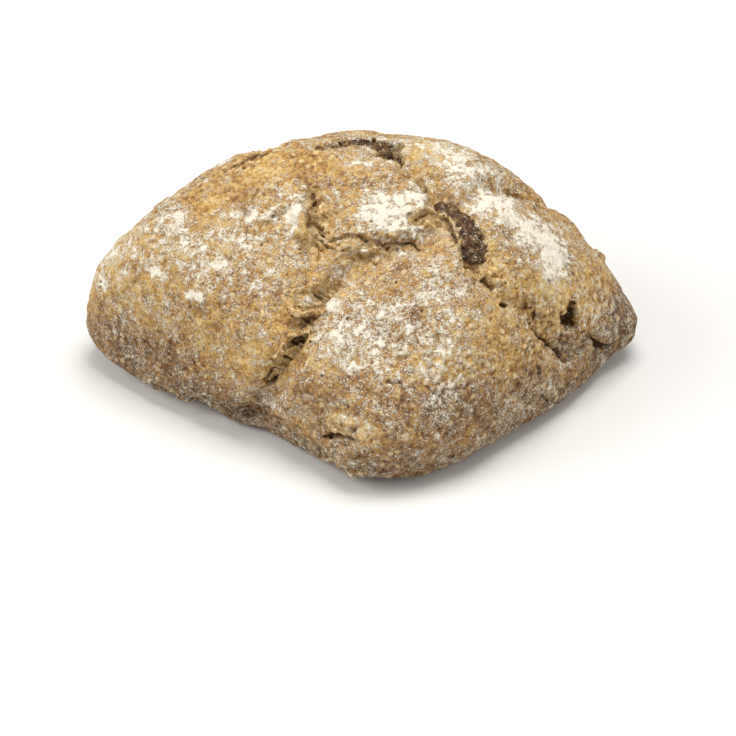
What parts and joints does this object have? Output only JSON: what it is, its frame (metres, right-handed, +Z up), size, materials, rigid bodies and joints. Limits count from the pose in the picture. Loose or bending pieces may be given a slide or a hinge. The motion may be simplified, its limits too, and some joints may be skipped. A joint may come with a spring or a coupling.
{
  "type": "bread roll",
  "caption": "Rustic wholemeal bread roll, folded from four corners into one mound with torn seams and a flour dusting, resting on a small flat spot.",
  "frame": {"origin": "on the table, under the middle of the roll's box", "axes": "+Z up, +X towards the slim right corner, -Y towards the front corner; the roll is longest along X and shortest along Z"},
  "size_m": [0.147, 0.103, 0.06],
  "materials": {
    "crust": "matte"
  },
  "bodies": {
    "root": {"bread_roll": "crust"}
  },
  "joints": []
}
